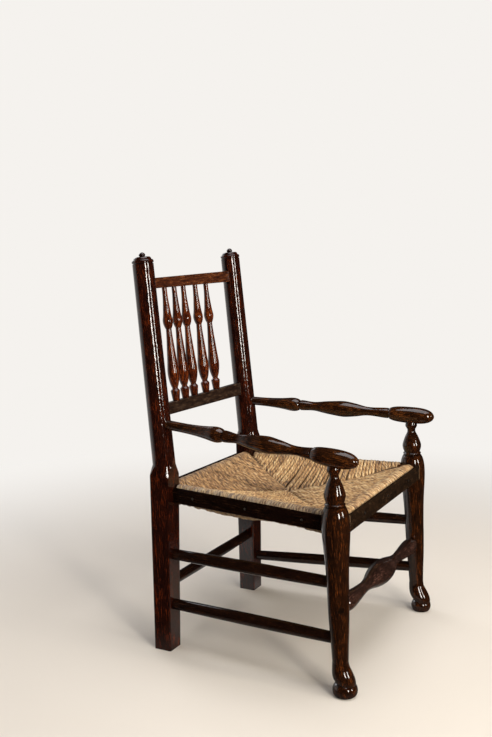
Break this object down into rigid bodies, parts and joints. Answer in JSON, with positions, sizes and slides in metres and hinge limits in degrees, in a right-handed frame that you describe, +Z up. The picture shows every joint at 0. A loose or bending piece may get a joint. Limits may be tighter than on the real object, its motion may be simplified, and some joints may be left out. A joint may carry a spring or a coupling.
{
  "type": "child's spindle-back armchair",
  "caption": "Small turned-wood armchair with a raked spindle back, turned arms on pad-foot front legs, round stretchers and a woven rush seat.",
  "frame": {"origin": "on the floor, under the middle of the chair's bounding box", "axes": "+Z up, -Y the way the sitter faces, +X to the sitter's left"},
  "size_m": [0.3986, 0.4023, 0.6636],
  "materials": {
    "dark_wood": "polished dark stained ash or elm, worn",
    "rush": "twisted rush, matt, worn grey at the edges",
    "nails": "dark iron"
  },
  "bodies": {
    "root": {"arm_left": "dark_wood", "arm_right": "dark_wood", "back_post_left": "dark_wood", "back_post_right": "dark_wood", "back_spindle_1": "dark_wood", "back_spindle_2": "dark_wood", "back_spindle_3": "dark_wood", "back_spindle_4": "dark_wood", "back_spindle_5": "dark_wood", "back_stretcher": "dark_wood", "edging_back": "dark_wood", "edging_front": "dark_wood", "edging_left": "dark_wood", "edging_nails": "nails", "edging_right": "dark_wood", "front_leg_left": "dark_wood", "front_leg_right": "dark_wood", "front_stretcher": "dark_wood", "leg_plug": "dark_wood", "lower_back_rail": "dark_wood", "rush_seat": "rush", "seat_rail_back": "dark_wood", "seat_rail_front": "dark_wood", "seat_rail_left": "dark_wood", "seat_rail_right": "dark_wood", "side_stretcher_lower_left": "dark_wood", "side_stretcher_lower_right": "dark_wood", "side_stretcher_upper_left": "dark_wood", "side_stretcher_upper_right": "dark_wood", "top_back_rail": "dark_wood"}
  },
  "joints": []
}
